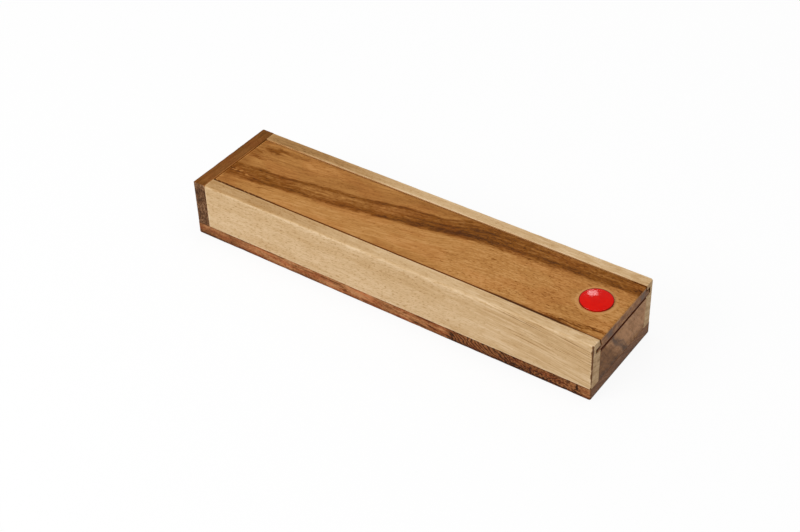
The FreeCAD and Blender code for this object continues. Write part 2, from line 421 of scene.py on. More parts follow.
def measured(tree):
    """The place on the box in millimetres, and the way the surface faces there."""
    here = add("TexCoord", {}, tree)
    place = add("VectorMath", {0: here["Object"], "Scale": 1 / MM}, operation="SCALE")[0]
    return place, here["Normal"]


def new_finish(name, gloss):
    """A new material, its shader, the place in millimetres and the way the surface faces."""
    material = bpy.data.materials.new(name)
    material.use_nodes = True
    shader = material.node_tree.nodes["Principled BSDF"]
    shader.inputs["Specular IOR Level"].default_value = gloss
    place, normal = measured(material.node_tree)
    facing = add("SeparateXYZ", {0: vector_calc("ABSOLUTE", normal)})
    return material, shader, place, facing


def give(shader, socket, value):
    """Links a value to one of the shader's sockets."""
    shader.id_data.links.new(value, shader.inputs[socket])


def give_surface(shader, base, roughness, relief):
    """Links a wood's colour, roughness and relief to its shader."""
    give(shader, "Base Color", base)
    give(shader, "Roughness", roughness)
    inputs = {"Height": relief, "Distance": RELIEF_DEPTH, "Strength": RELIEF_STRENGTH}
    give(shader, "Normal", add("Bump", inputs)["Normal"])


def satin(grain, smooth, rough):
    """The roughness of sanded wood, which is duller in its pores and paler fibres."""
    dull = largest(grain["Fibres"], grain["Pores"])
    spread = overlap(dull, rough - smooth)
    return total(spread, smooth)


BASE_TONES = {
    0.0: colour(52, 26, 9), 0.3: colour(98, 56, 27), 0.6: colour(146, 92, 51), 1.0: colour(196, 138, 92),
}
BASE_REDDER = colour(158, 82, 50)
BASE_END_TONES = {0.0: colour(80, 44, 22), 0.5: colour(120, 79, 48), 1.0: colour(160, 114, 78)}
BASE_MIDTONE = 0.70
BASE_END_MIDTONE = 0.48
BASE_SATIN = (0.42, 0.62)
BASE_GRAIN = {
    "Board": 3.0, "Ring Direction": (0.02, 0.35, 0.93), "Ring Spacing": 1.5, "Waviness": 7.0,
    "Pore Limit": 0.64,
}
# Places are in millimetres. A shade has where it begins, where it is whole and what it adds to
# the tone; a part has its start, its end and how softly it ends; for a mark see marked().
BASE_FIGURE = {"Clouds": 0.14, "Fibres": 0.16, "Pores": -0.2, "Lines": -0.14}
BASE_END_FIGURE = {"Clouds": 0.4, "Rings": 0.3}
BASE_SHADES_ALONG = [(34.0, 44.0, -0.06), (70.0, 80.0, -0.08), (92.0, 104.0, 0.12)]
# Up the base: painted shade along its foot and along its joint under the walls.
BASE_SHADES_UP = [(2.6, 0.9, -0.3), (6.2, 6.8, -0.2)]
# On its ends: painted shade along the foot.
BASE_END_SHADES = [(2.5, 0.8, -0.3)]
PALER_PART = (-30.0, 34.0, 8.0)
RIPPLED_PART = (43.0, 70.0, 8.0)
FLECKED_PART = (73.0, 106.0, 8.0)
BASE_MARKS = [
    (108.0, 5.0, 1.6, 5.5, 0.0, -0.6), (107.0, 2.6, 1.6, 2.6, 0.0, -0.4),
    (-21.5, 3.0, 5.0, 2.2, 0.0, -0.34), (-30.0, 5.6, 26.0, 1.0, -0.02, -0.34),
    (-48.0, 5.0, 22.0, 0.9, 0.03, -0.28), (30.0, 3.3, 9.0, 1.6, -0.2, -0.4),
    (22.0, 2.2, 15.0, 1.7, -0.12, -0.42), (14.5, 5.4, 4.0, 1.5, 0.3, -0.32),
    (5.0, 4.4, 22.0, 0.8, -0.06, -0.25), (41.0, 4.4, 4.0, 3.0, -0.3, -0.5),
    (38.5, 2.4, 9.0, 1.2, -0.1, -0.4), (-72.0, 5.0, 14.0, 2.0, 0.0, 0.10),
    (25.0, 6.4, 14.0, 1.0, 0.0, -0.34), (-8.0, 2.0, 16.0, 1.2, 0.0, -0.25),
]

base_low, base_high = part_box("base_board")


def base_wood():
    """Reddish brown wood with a rippled dark figure towards the open end."""
    material, shader, place, facing = new_finish("base_wood", WOOD_GLOSS)
    grain = place_group(wood_grain, {"Place": place, **BASE_GRAIN})
    along, across, up = parts(place)
    patches = speckle(place, (0.12, 0.3, 0.3))
    fine = speckle(place, (0.8, 1.3, 1.3))
    ripple_bend = swing(speckle(place, (0.12, 0.2, 0.25), 1.0), 7.0)
    ripple_line = total(scaled(along, 2.4), scaled(up, 2.6), ripple_bend)
    ripples = fade(calc("SINE", ripple_line), -0.3, 0.8)
    in_ripples = window(along, *RIPPLED_PART)
    plain = less(1.0, in_ripples)
    flecks = fade(speckle(place, (0.9, 1.1, 1.2)), 0.25, 0.8)
    flecked = overlap(window(along, *FLECKED_PART), flecks)
    low_flecks = overlap(flecked, fade(up, 5.5, 2.0))
    tone = total(
        BASE_MIDTONE,
        overlap(plain, swing(grain["Rings"], 0.24)),
        overlap(plain, swing(patches, 0.22)),
        figure(grain, BASE_FIGURE), swing(fine, 0.22),
        scaled(window(along, *PALER_PART), 0.12),
        shaded(along, BASE_SHADES_ALONG), shaded(up, BASE_SHADES_UP),
        overlap(in_ripples, ripples, -0.42),
        scaled(flecked, -0.26), scaled(low_flecks, -0.24),
        marked(along, up, BASE_MARKS),
    )
    long_grain = toned(tone, BASE_TONES)
    ruddy = scaled(fade(speckle(place, (0.07, 0.25, 0.4)), 0.3, 0.9), 0.4)
    long_grain = tint(ruddy, long_grain, BASE_REDDER, "SOFT_LIGHT")
    end_tone = total(
        BASE_END_MIDTONE, figure(grain, BASE_END_FIGURE), swing(fine, 0.3),
        shaded(up, BASE_END_SHADES), swing(fade(across, -18.0, 18.0), 0.2),
    )
    end_grain = toned(end_tone, BASE_END_TONES)
    base = tint(fade(facing["X"], *END_ON), long_grain, end_grain)
    give_surface(shader, base, satin(grain, *BASE_SATIN), grain["Relief"])
    return material


base_mesh = drawn_along_x(rectangle(base_low, base_high), base_low.x, base_high.x)
round_over(
    base_mesh, BASE_EDGE_RADIUS,
    {"z": base_low.z},
    {"x": base_low.x, "y": base_low.y}, {"x": base_low.x, "y": base_high.y},
    {"x": base_high.x, "y": base_low.y}, {"x": base_high.x, "y": base_high.y},
)
ease(base_mesh)
wear(base_mesh, BASE_WEAR, seed=1)
base_piece = piece("base_board_wood", base_mesh, base_wood())
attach(base_piece, "box")
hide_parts("base_board")


# ---------------------------------------------------------------------------------------------
# The two side walls: pale sapwood, glued to the base and to the fixed end wall. A groove along
# the inside of each carries the lid's tongue. The far wall is thinner, with a lower lip.

WALL_END_RADIUS = 0.6 * MM
NEAR_TOP_RADIUS = 1.3 * MM
FAR_TOP_RADIUS = 0.5 * MM
GROOVE_FLOOR_DROP = 6.5 * MM
NEAR_GROOVE_DEPTH = 4.1 * MM
FAR_GROOVE_DEPTH = 3.4 * MM
NEAR_LIP_HEIGHT = 3.7 * MM
FAR_LIP_HEIGHT = 2.5 * MM
WALL_WEAR = 0.10 * MM

LIP_TAPER = 1.2 * MM
LIP_TAPER_START = 40 * MM
LIP_TAPER_FOOT = 28 * MM
LIP_TAPER_REACH = 0.6 * MM
LIP_TAPER_CURVE = 1.4
FAR_CORNER_RADIUS = 1.3 * MM

WALL_TONES = {
    0.0: colour(110, 70, 28), 0.35: colour(178, 135, 84),
    0.7: colour(210, 175, 129), 1.0: colour(234, 205, 166),
}
WALL_END_TONES = {0.0: colour(128, 92, 56), 0.5: colour(194, 159, 116), 1.0: colour(226, 198, 158)}
WALL_EDGE_DARK = colour(92, 46, 6)
# Painted shade and light for the seams beside the lid: the near lip, its arris and the groove darker, the
# far lip and the lips towards the fixed end paler.
NEAR_LIP_SHADE = colour(96, 52, 10)
NEAR_ARRIS_SHADE = colour(150, 88, 24)
FAR_LIP_PAINTED_LIGHT = colour(198, 136, 76)
LIP_PAINTED_LIGHT = colour(218, 154, 88)
GROOVE_SHADE = colour(92, 44, 2)
WALL_MIDTONE = 0.79
WALL_END_MIDTONE = 0.5
WALL_SATIN = (0.45, 0.65)
WALL_GRAIN = {
    "Ring Direction": (0.0, 0.35, 0.93), "Ring Spacing": 2.2, "Waviness": 3.0, "Pore Limit": 0.66,
}
WALL_FIGURE = {"Rings": 0.05, "Clouds": 0.10, "Mottle": 0.08, "Fibres": 0.13, "Pores": -0.16}
WALL_END_FIGURE = {"Clouds": 0.2, "Rings": 0.25, "Mottle": 0.3, "Pores": -0.2}
GRAIN_DIP_START = 20.0
GRAIN_DIP = 0.0008
FROM_ABOVE = (0.4, 0.9)
ARRIS_WIDTH = 1.5
PAINTED_SEAM_STRENGTH = 0.94
TOP_HIGHLIGHT_PART = (-80.0, 50.0, 40.0)
INNER_ARRIS_HIGHLIGHT_PART = (-75.0, 5.0, 20.0)
LIP_FACE_BAND = (29.4, 32.1, 0.3)
GROOVE_BAND = (26.2, 31.9, 0.2)
DEEP_SHADE_PART = (66.0, 92.0, 16.0)

near_low, near_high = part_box("near_side_wall")
far_low, far_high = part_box("far_side_wall")
lid_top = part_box("lid_panel")[1].z


def wall_section(outer, inner, foot, top, groove_depth, lip_height):
    """The Y, Z section of a side wall, with its groove open to the inside."""
    groove_bottom = inner + math.copysign(groove_depth, outer - inner)
    groove_floor = top - GROOVE_FLOOR_DROP
    groove_roof = top - lip_height
    return [
        (outer, foot), (inner, foot), (inner, groove_floor), (groove_bottom, groove_floor),
        (groove_bottom, groove_roof), (inner, groove_roof), (inner, top), (outer, top),
    ]


def taper(board, inner, above):
    """Leans a lid or a lip outwards towards the open end, beside the seam at the given Y."""
    for vertex in board.verts:
        if vertex.co.z > above and abs(vertex.co.y - inner) < LIP_TAPER_REACH:
            share = max(vertex.co.x - LIP_TAPER_START, 0) / (near_high.x - LIP_TAPER_START)
            lift = min((vertex.co.z - LIP_TAPER_FOOT) / (lid_top - LIP_TAPER_FOOT), 1)
            vertex.co.y -= LIP_TAPER * max(lift, 0) * share ** LIP_TAPER_CURVE


def build_arris():
    """Where the edges of a board lie, from its corners: 1 on an edge and 0 a width away from it."""
    tree, given = new_group(
        "arris",
        {"Place": "Vector", "Low": "Vector", "High": "Vector", "Width": "Float"},
        {"Mask": "Float"},
    )
    from_low = vector_calc("SUBTRACT", given["Place"], given["Low"])
    from_high = vector_calc("SUBTRACT", given["High"], given["Place"])
    inset = parts(vector_calc("MINIMUM", from_low, from_high))
    lesser = calc("MINIMUM", inset[0], inset[1])
    greater = largest(inset[0], inset[1])
    second = largest(lesser, calc("MINIMUM", greater, inset[2]))
    close_group(tree, {"Mask": fade(second, given["Width"], 0.0)})
    return tree


wood_arris = build_arris()


def in_millimetres(corner):
    """A corner of a piece, in the millimetres that its pattern is laid out in."""
    return tuple(part / MM for part in corner)


def arris_wear_and_highlight(place, low, high, width):
    """The arris of a board, uneven along its length: for wear, and for a highlight painted on its
    rounding.
    """
    mask = place_group(wood_arris, {
        "Place": place, "Low": in_millimetres(low), "High": in_millimetres(high), "Width": width,
    })["Mask"]
    return overlap(mask, fade(speckle(place, (0.12, 0.4, 0.4)), -0.3, 0.8))


def seam_shading(place, along):
    """How far the near seam has moved, where its painted shade is deeper and how much of the seam the
    painted shade covers.
    """
    lean = scaled(fade(along, LIP_TAPER_START / MM, near_high.x / MM), LIP_TAPER / MM)
    dotted = fade(speckle(place, (0.45, 0.5, 0.5), 1.0), -0.1, 0.35)
    dashed = overlap(dotted, fade(along, -60.0, -82.0))
    deep = largest(window(along, *DEEP_SHADE_PART), scaled(dashed, 0.8))
    solid = largest(dotted, fade(along, -86.0, -72.0))
    scant = less(1.0, scaled(fade(along, 94.0, 103.0), 0.45))
    return lean, deep, overlap(solid, scant)


def wall_wood(name, board, low, high, heart, lip_seam_colour):
    """Pale sapwood with small dark pores and fine lines that dip towards the open end."""
    material, shader, place, facing = new_finish(name, WOOD_GLOSS)
    along, across, up = parts(place)
    past = largest(less(along, GRAIN_DIP_START), 0.0)
    dip = overlap(past, past, GRAIN_DIP)
    dipped = add("CombineXYZ", {0: along, 1: across, 2: total(up, dip)})[0]
    grain = place_group(wood_grain, {"Place": dipped, "Board": board, **WALL_GRAIN})
    top_on = fade(facing["Z"], *FROM_ABOVE)
    side_on = less(1.0, top_on)
    upper = overlap(fade(along, 40.0, 80.0), fade(up, 12.0, 26.0))
    lined = overlap(grain["Lines"], total(scaled(upper, 0.8), 0.1), total(scaled(side_on, 0.8), 0.2))
    heartwood = overlap(fade(along, 10.0, -80.0), top_on)
    risen = less(up, scaled(along, 0.3))
    slanted = add("CombineXYZ", {0: along, 1: across, 2: risen})[0]
    combed = speckle(dipped, (0.06, 1.2, 1.2), 3.0)
    # A painted highlight in a broken band along the top of the side faces, below the rounded top arris.
    painted_top_highlight = overlap(
        fade(speckle(place, (0.07, 0.4, 0.4), 3.0), -0.4, 0.6),
        fade(up, 28.0, 31.5), window(along, *TOP_HIGHLIGHT_PART), side_on,
    )
    toward_fixed_end = fade(along, -70.0, -92.0)
    # A painted highlight along the far wall's inner top arris, beside the lid.
    painted_inner_arris_highlight = overlap(ridge(across, 22.2, 1.0), top_on, window(along, *INNER_ARRIS_HIGHLIGHT_PART))
    pits = overlap(
        fade(speckle(slanted, (0.45, 1.5, 1.5), 1.0), 0.76, 0.96),
        fade(along, 75.0, 25.0), total(scaled(side_on, 0.6), 0.4),
    )
    tone = total(
        WALL_MIDTONE,
        figure(grain, WALL_FIGURE), scaled(pits, -0.22), scaled(lined, -0.6),
        overlap(swing(combed, 0.2), fade(along, 25.0, 75.0)),
        scaled(fade(up, 14.0, 29.0), -0.08), scaled(heartwood, heart),
        overlap(side_on, fade(along, 30.0, 90.0), -0.04),
        # Lighter arrises: partly wear, and partly a highlight painted on the roundings.
        scaled(arris_wear_and_highlight(place, low, high, ARRIS_WIDTH), 0.14), scaled(painted_top_highlight, 0.13),
        overlap(toward_fixed_end, ridge(across, 22.4, 2.4), -0.09),
        scaled(painted_inner_arris_highlight, 0.12),
    )
    long_grain = toned(tone, WALL_TONES)
    far_paler = scaled(fade(across, 20.0, 24.0), 0.08)
    end_tone = total(WALL_END_MIDTONE, figure(grain, WALL_END_FIGURE), far_paler)
    end_grain = toned(end_tone, WALL_END_TONES)
    base = tint(fade(facing["X"], *END_ON), long_grain, end_grain)
    inner = calc("ABSOLUTE", across)
    # Painted on the lip's inner face above the lid, inside the seam: shade on the near wall and light on
    # the far wall, paler on both towards the fixed end.
    painted_seam = overlap(window(up, *LIP_FACE_BAND), fade(facing["Y"], 0.5, 0.9), fade(inner, 23.0, 22.6))
    lip_seam_colour = tint(scaled(toward_fixed_end, 0.9), lip_seam_colour, LIP_PAINTED_LIGHT)
    base = tint(scaled(painted_seam, PAINTED_SEAM_STRENGTH), base, lip_seam_colour)
    # Painted shade inside the groove, near the open end.
    groove = overlap(
        window(up, *GROOVE_BAND), fade(inner, 25.6, 25.3),
        fade(along, 104.0, 110.0), fade(facing["X"], 0.6, 0.3),
    )
    base = tint(scaled(groove, PAINTED_SEAM_STRENGTH), base, GROOVE_SHADE)
    give_surface(shader, base, satin(grain, *WALL_SATIN), grain["Relief"])
    return material


def near_wall_wood():
    """The near wall's wood, with a ragged dark line along its upright edge at the open end, and painted
    shade beside the lid's seam.
    """
    material = wall_wood("near_wall_wood", 11.0, near_low, near_high, -0.28, NEAR_LIP_SHADE)
    shader = material.node_tree.nodes["Principled BSDF"]
    base = shader.inputs["Base Color"].links[0].from_socket
    place = measured(material.node_tree)[0]
    along, across, up = parts(place)
    # A ragged dark line down the upright edge at the open end.
    ragged = swing(speckle(place, (0.1, 0.1, 0.55), 3.0), 0.5)
    width = total(scaled(fade(up, 6.0, 26.0), 0.35), ragged, 0.3)
    from_end = less(near_high.x / MM, along)
    from_face = less(across, near_low.y / MM)
    beyond = less(largest(from_end, from_face), width)
    edge_darkened = scaled(fade(beyond, 0.25, -0.15), 0.9)
    base = tint(edge_darkened, base, WALL_EDGE_DARK)
    # Painted shade on the inner arris beside the lid's seam: dotted, and deeper in places.
    lean, deep, seam_cover = seam_shading(place, along)
    beside = total(across, -near_high.y / MM, lean)
    arris_shade = tint(deep, NEAR_ARRIS_SHADE, NEAR_LIP_SHADE)
    painted_seam = overlap(fade(beside, -0.5, -0.15), fade(up, 31.8, 32.0), seam_cover, 0.9)
    give(shader, "Base Color", tint(painted_seam, base, arris_shade))
    return material


near_mesh = drawn_along_x(
    wall_section(
        near_low.y, near_high.y, near_low.z, near_high.z, NEAR_GROOVE_DEPTH, NEAR_LIP_HEIGHT
    ),
    near_low.x, near_high.x,
)
round_over(near_mesh, NEAR_TOP_RADIUS, {"y": near_low.y, "z": near_high.z})
round_over(
    near_mesh, WALL_END_RADIUS, {"x": near_high.x, "y": near_low.y}, {"x": near_high.x, "z": near_high.z}
)
ease(near_mesh)
keep_within(near_mesh, near_low, near_high)
wear(near_mesh, WALL_WEAR, seed=2)
taper(near_mesh, near_high.y, near_high.z - NEAR_LIP_HEIGHT - EASING_RADIUS)
near_piece = piece("near_side_wall_wood", near_mesh, near_wall_wood())
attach(near_piece, "box")
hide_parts("near_side_wall")

far_mesh = drawn_along_x(
    wall_section(far_high.y, far_low.y, far_low.z, far_high.z, FAR_GROOVE_DEPTH, FAR_LIP_HEIGHT),
    far_low.x, far_high.x,
)
round_over(far_mesh, FAR_CORNER_RADIUS, {"x": far_high.x, "y": far_high.y})
round_over(
    far_mesh, FAR_TOP_RADIUS, {"z": far_high.z}, spared=[{"x": far_low.x}, {"y": far_low.y}]
)
ease(far_mesh)
keep_within(far_mesh, far_low, far_high)
wear(far_mesh, WALL_WEAR, seed=3)
far_wood = wall_wood("far_wall_wood", 17.0, far_low, far_high, -0.38, FAR_LIP_PAINTED_LIGHT)
far_piece = piece("far_side_wall_wood", far_mesh, far_wood)
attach(far_piece, "box")
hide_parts("far_side_wall")


# ---------------------------------------------------------------------------------------------
# The fixed end wall: dark brown wood as wide as the box, its grain across the box. The side
# walls butt against it in glue, so its end grain shows on both sides of the box.

FIXED_END_RADIUS = 1.2 * MM
FIXED_END_WEAR = 0.12 * MM

FIXED_TONES = {0.0: colour(70, 36, 4), 0.5: colour(121, 75, 26), 1.0: colour(170, 114, 62)}
FIXED_REDDER = colour(136, 68, 26)
BUTT_PAINTED_LIGHT = colour(178, 110, 44)
FIXED_END_TONES = {0.0: colour(44, 20, 6), 0.5: colour(112, 76, 48), 1.0: colour(180, 140, 104)}
FIXED_MIDTONE = 0.50
FIXED_END_MIDTONE = 0.42
FIXED_GRAIN = {
    "Board": 23.0, "Ring Direction": (0.0, 0.8, 0.6), "Ring Spacing": 2.0, "Waviness": 4.0,
    "Pore Limit": 0.64,
}
FIXED_FIGURE = {"Rings": 0.16, "Clouds": 0.14, "Fibres": 0.16, "Mottle": 0.14, "Pores": -0.2}
FIXED_END_SHADES = [(28.0, 30.5, 0.28), (22.0, 26.0, -0.1)]


def crosswise(place):
    """The place with along and across exchanged, for a board whose grain runs across the box."""
    along, across, up = parts(place)
    return add("CombineXYZ", {0: across, 1: along, 2: up})[0]


fixed_low, fixed_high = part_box("fixed_end_wall")


def fixed_end_wood():
    """Dark brown wood, redder and more olive in turns, with a speckled end grain."""
    material, shader, place, facing = new_finish("fixed_end_wood", WOOD_GLOSS)
    grain = place_group(wood_grain, {"Place": crosswise(place), **FIXED_GRAIN})
    along, across, up = parts(place)
    # Painted light on the inner arris above the lid, lifting the shade there.
    inner_arris = overlap(fade(along, -108.0, -107.4), fade(across, 16.0, 11.0))
    outer_arris = fade(along, -113.9, -114.6)
    tone = total(
        FIXED_MIDTONE, figure(grain, FIXED_FIGURE),
        scaled(inner_arris, 0.5), scaled(outer_arris, -0.2),
        scaled(fade(across, -23.5, -26.0), -0.12),
    )
    long_grain = toned(tone, FIXED_TONES)
    warmth = scaled(speckle(place, (0.1, 0.09, 0.1), 1.0), 0.3)
    long_grain = tint(warmth, long_grain, FIXED_REDDER)
    pitted = speckle(place, (1.1, 0.7, 0.85), 2.0)
    end_tone = total(
        FIXED_END_MIDTONE, swing(pitted, 0.5), swing(grain["Mottle"], 0.16),
        shaded(up, FIXED_END_SHADES),
    )
    end_grain = toned(end_tone, FIXED_END_TONES)
    base = tint(fade(facing["Y"], *END_ON), long_grain, end_grain)
    # Painted light on the inner face that stands above the lid's back end.
    butting = overlap(
        fade(along, -107.6, -107.35), fade(facing["X"], 0.2, 0.7),
        fade(up, 30.8, 31.4), fade(across, 16.0, 8.0),
    )
    base = tint(butting, base, BUTT_PAINTED_LIGHT)
    give_surface(shader, base, satin(grain, *WALL_SATIN), grain["Relief"])
    return material


fixed_mesh = drawn_along_x(rectangle(fixed_low, fixed_high), fixed_low.x, fixed_high.x)
round_over(
    fixed_mesh, FIXED_END_RADIUS,
    {"x": fixed_low.x, "z": fixed_high.z},
    {"x": fixed_low.x, "y": fixed_low.y}, {"x": fixed_low.x, "y": fixed_high.y},
)
ease(fixed_mesh)
wear(fixed_mesh, FIXED_END_WEAR, seed=4, along=1)
fixed_piece = piece("fixed_end_wall_wood", fixed_mesh, fixed_end_wood())
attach(fixed_piece, "box")
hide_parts("fixed_end_wall")


# ---------------------------------------------------------------------------------------------
# The open end wall: a low brown board between the side walls, its grain across the box. The lid
# slides over it with a thin gap. A dark mineral smudge crosses its outer face.

OPEN_END_RADIUS = 0.4 * MM
OPEN_END_WEAR = 0.08 * MM

OPEN_TONES = {0.0: colour(84, 52, 26), 0.5: colour(142, 99, 62), 1.0: colour(200, 150, 108)}
OPEN_SMUDGE = colour(82, 62, 50)
OPEN_TOP_SHADE = colour(82, 34, 0)
OPEN_MIDTONE = 0.80
OPEN_GRAIN = {
    "Board": 31.0, "Ring Direction": (0.0, 0.5, 0.86), "Ring Spacing": 3.2, "Waviness": 6.0,
    "Pore Limit": 0.66,
}
OPEN_FIGURE = {"Rings": 0.10, "Clouds": 0.14, "Fibres": 0.12, "Mottle": 0.12, "Pores": -0.15}
SMUDGE_SLANT = 0.88
SMUDGE_BAND = (8.0, 26.0, 3.0)
SHADE_SLOPE = 0.02

open_low, open_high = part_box("open_end_wall")


def open_end_wood():
    """Brown wood, darker towards the near side and its foot, with a slanting smudge."""
    material, shader, place, facing = new_finish("open_end_wood", WOOD_GLOSS)
    grain = place_group(wood_grain, {"Place": crosswise(place), **OPEN_GRAIN})
    across, up = parts(place)[1:]
    wander = swing(speckle(place, (0.1, 0.16, 0.16)), 1.6)
    slant = total(across, scaled(up, SMUDGE_SLANT), wander)
    steep = less(up, scaled(across, SMUDGE_SLANT))
    turned_place = add("CombineXYZ", {0: slant, 1: steep, 2: 0.0})[0]
    streaks = speckle(turned_place, (0.6, 0.09, 1.0), 3.0)
    smudge = overlap(ridge(slant, 11.6, 4.4), window(up, *SMUDGE_BAND))
    smudge = overlap(fade(smudge, 0.0, 0.9), fade(streaks, -0.4, 0.8), 0.85)
    arch = ridge(less(across, scaled(up, 0.14)), 7.6, 1.4)
    tone = total(
        OPEN_MIDTONE, figure(grain, OPEN_FIGURE), swing(streaks, 0.26),
        scaled(fade(slant, 11.0, 1.0), -0.46),
        scaled(fade(up, 13.0, 7.5), -0.26), scaled(arch, -0.10),
    )
    base = tint(smudge, toned(tone, OPEN_TONES), OPEN_SMUDGE)
    # Painted shade on the top face and along the top of the outer face, under the lid.
    shade_line = less(up, scaled(across, SHADE_SLOPE))
    painted_shade_mask = largest(fade(facing["Z"], 0.3, 0.8), fade(shade_line, 24.6, 25.0))
    base = tint(painted_shade_mask, base, OPEN_TOP_SHADE)
    give_surface(shader, base, satin(grain, *WALL_SATIN), grain["Relief"])
    return material


open_mesh = drawn_along_x(rectangle(open_low, open_high), open_low.x, open_high.x)
round_over(open_mesh, OPEN_END_RADIUS, {"x": open_high.x, "z": open_high.z})
ease(open_mesh)
wear(open_mesh, OPEN_END_WEAR, seed=5, along=1)
open_piece = piece("open_end_wall_wood", open_mesh, open_end_wood())
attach(open_piece, "box")
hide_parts("open_end_wall")


# ---------------------------------------------------------------------------------------------
# The lid: one orange brown board with a dark streak of heartwood slanting across it. A rebate
# along each side leaves a tongue that runs in the wall's groove.

LID_NEAR_GAP = 0.8 * MM
LID_FAR_GAP = 0.45 * MM
NEAR_TONGUE_THICKNESS = 2.0 * MM
FAR_TONGUE_THICKNESS = 3.2 * MM
TONGUE_RADIUS = 1.0 * MM
LID_FRONT_RADIUS = 0.6 * MM
LID_SIDE_RADIUS = 0.3 * MM
LID_WEAR = 0.10 * MM

LID_TONES = {
    0.0: colour(84, 44, 6), 0.2: colour(115, 65, 12), 0.38: colour(135, 79, 18), 0.5: colour(148, 94, 39),
    0.7: colour(169, 113, 54), 0.85: colour(186, 130, 68), 1.0: colour(202, 148, 88),
}
LID_END_TONES = {0.0: colour(90, 54, 28), 0.5: colour(150, 104, 68), 1.0: colour(200, 148, 98)}
LID_END_BLUE = colour(98, 84, 78)
LID_REDDER = colour(176, 96, 36)
# Painted shade for the lid's seams and the hollows by its tongues, the second colour deeper.
LID_SEAM_SHADE = colour(116, 60, 4)
LID_DEEP_SEAM_SHADE = colour(84, 40, 2)
LID_MIDTONE = 0.85
LID_END_MIDTONE = 0.44
LID_SATIN = (0.42, 0.6)
LID_GRAIN = {
    "Board": 41.0, "Ring Direction": (0.0, 0.9, 0.4), "Ring Spacing": 2.6, "Waviness": 5.0,
    "Pore Limit": 0.665,
}
LID_FIGURE = {"Rings": 0.05, "Clouds": 0.08, "Fibres": 0.18, "Mottle": 0.10, "Lines": -0.10}
# Along the lid: the last change is painted light at its back end, against the shadow of the fixed end
# wall's step.
LID_SHADES_ALONG = [(70.0, 112.0, -0.03), (-100.0, -105.5, -0.13), (-106.2, -106.9, 0.22)]
PALE_RING_OUT = 0.7
PALE_RING_REACH = 1.6
DENSER_PART = (0.0, 42.0, 18.0)
PALER_CORE_PART = (-62.0, -12.0, 14.0)
LID_END_PALER = (-5.0, 8.0, 5.0)
LID_END_BLUE_BAND = (27.5, 30.5, 1.2)
STREAK_SPAN = (-115.0, 115.0, -28.0, 28.0)
STREAK_FOOT = [
    (-115, -15.5), (-95, -12.2), (-80, -10.8), (-68, -8.6), (-45, -6.2), (-30, -3.2),
    (-12, -0.4), (0, 1.6), (15, 4.4), (30, 7.4), (45, 9.3), (75, 11.3), (115, 13.6),
]
STREAK_TOP = [
    (-115, -2.5), (-95, -0.8), (-80, 0.3), (-62, 3.6), (-45, 5.6), (-30, 8.0),
    (-12, 12.2), (0, 13.6), (10, 15.6), (17, 18.4), (25, 22.5), (60, 25), (115, 26),
]
LID_MARKS = [
    (-97.0, 16.2, 18.0, 6.2, 0.16, -0.34), (-86.0, 18.0, 24.0, 3.8, 0.08, -0.24),
    (-94.0, 14.6, 10.0, 2.4, -0.1, -0.18), (-103.0, 9.0, 12.0, 9.0, 0.1, -0.14),
    (-84.0, 10.2, 46.0, 1.2, 0.09, -0.12), (-96.0, 7.6, 20.0, 1.8, 0.2, -0.3),
    (-104.0, 11.8, 9.0, 2.0, -0.1, -0.2), (-95.0, 12.4, 10.0, 1.4, -0.1, -0.14),
    (-81.0, -13.4, 20.0, 1.4, 0.11, -0.24), (76.0, -1.2, 26.0, 1.0, 0.1, -0.12),
    (28.0, -6.8, 30.0, 1.0, 0.05, -0.13), (96.0, -19.2, 28.0, 1.9, 0.05, -0.62),
    (111.0, -16.9, 18.0, 2.0, 0.05, -0.62), (100.0, -20.6, 40.0, 1.4, -0.03, -0.34),
    (102.0, -17.6, 24.0, 4.0, 0.02, -0.2),
    (4.0, -17.8, 60.0, 7.0, 0.0, -0.09), (8.0, 19.5, 50.0, 7.0, 0.1, -0.16),
    (-38.0, 20.2, 48.0, 2.6, 0.0, 0.11), (66.0, 9.6, 60.0, 2.8, 0.03, -0.14),
    (-100.0, -16.0, 16.0, 6.0, 0.1, -0.12), (84.0, -12.0, 50.0, 10.0, -0.05, -0.06),
    (-45.0, 12.5, 20.0, 6.0, 0.12, -0.08), (78.0, 4.6, 9.0, 1.2, 0.0, -0.14),
    (79.0, -5.2, 12.0, 1.2, -0.1, -0.12), (113.0, 17.0, 4.0, 5.0, 0.0, -0.3),
    (30.0, 13.0, 60.0, 9.0, 0.12, -0.05), (32.0, 18.5, 32.0, 7.0, 0.1, -0.08),
    (82.0, -20.8, 30.0, 3.0, -0.02, -0.32),
    (-64.0, 15.5, 44.0, 10.0, 0.05, 0.13), (111.0, -2.0, 12.0, 30.0, 0.0, 0.12),
    (-90.0, -17.5, 40.0, 7.0, 0.0, -0.07), (-6.0, -9.0, 50.0, 14.0, 0.05, 0.05),
    (70.0, 16.5, 50.0, 7.0, 0.0, -0.07),
]

lid_low, lid_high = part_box("lid_panel")
lid_near_edge = near_high.y + LID_NEAR_GAP
lid_far_edge = far_low.y - LID_FAR_GAP
disc_low, disc_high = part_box("badge_disc")
dome_low, dome_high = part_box("badge_dome")
badge_middle = (disc_low + disc_high) / 2
badge_radius = (dome_high.x - dome_low.x) / 2


def curve(along, points):
    """The height across the lid, in millimetres, of a line drawn through the given points."""
    left, right, near, far = STREAK_SPAN
    share = calc("DIVIDE", less(along, left), right - left)
    made = add("FloatCurve", {"Value": share})["Value"]
    line = made.node.mapping
    dots = line.curves[0].points
    while len(dots) < len(points):
        dots.new(0.5, 0.5)
    for dot, (x, y) in zip(dots, points):
        dot.location = ((x - left) / (right - left), (y - near) / (far - near))
    line.update()
    return total(scaled(made, far - near), near)


def from_badge(place, shift=(0.0, 0.0)):
    """How far a place is, in millimetres, from the badge's upright axis, moved by the shift."""
    axis = (badge_middle.x / MM + shift[0], badge_middle.y / MM + shift[1], 0)
    out = vector_calc("MULTIPLY", vector_calc("SUBTRACT", place, axis), (1, 1, 0))
    return add("VectorMath", {0: out}, operation="LENGTH")["Value"]


